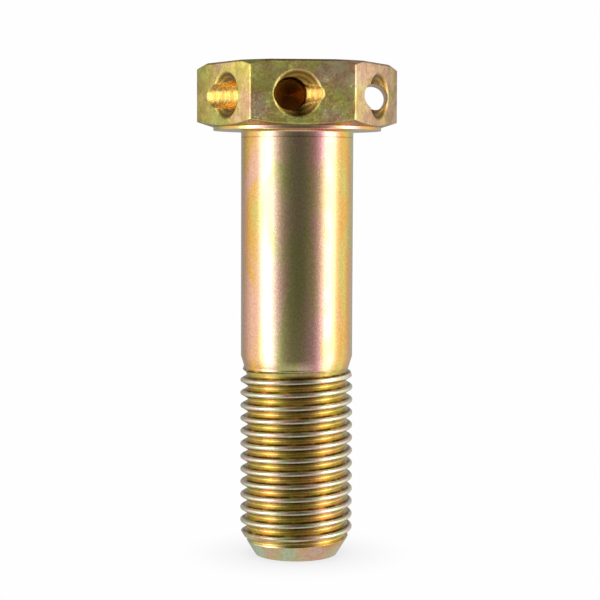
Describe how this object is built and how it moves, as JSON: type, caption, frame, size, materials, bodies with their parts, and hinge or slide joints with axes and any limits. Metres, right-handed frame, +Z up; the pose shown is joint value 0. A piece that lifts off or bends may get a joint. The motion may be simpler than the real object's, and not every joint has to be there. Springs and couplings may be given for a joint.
{
  "type": "drilled-head hex bolt",
  "caption": "Hexagon head bolt with wire-locking holes drilled across alternate corners of the head, a plain shank and a short fine thread.",
  "frame": {"origin": "centre of the flat face at the threaded end, which the bolt stands on", "axes": "+Z up the bolt's axis from the threaded end to the head; one flat of the head faces -Y, and the +X corner of the head is a drilled one"},
  "size_m": [0.0196, 0.017, 0.0483],
  "materials": {
    "gold_chromate_steel": "satin metal with a yellow chromate film"
  },
  "bodies": {
    "root": {"bolt": "gold_chromate_steel"}
  },
  "joints": []
}
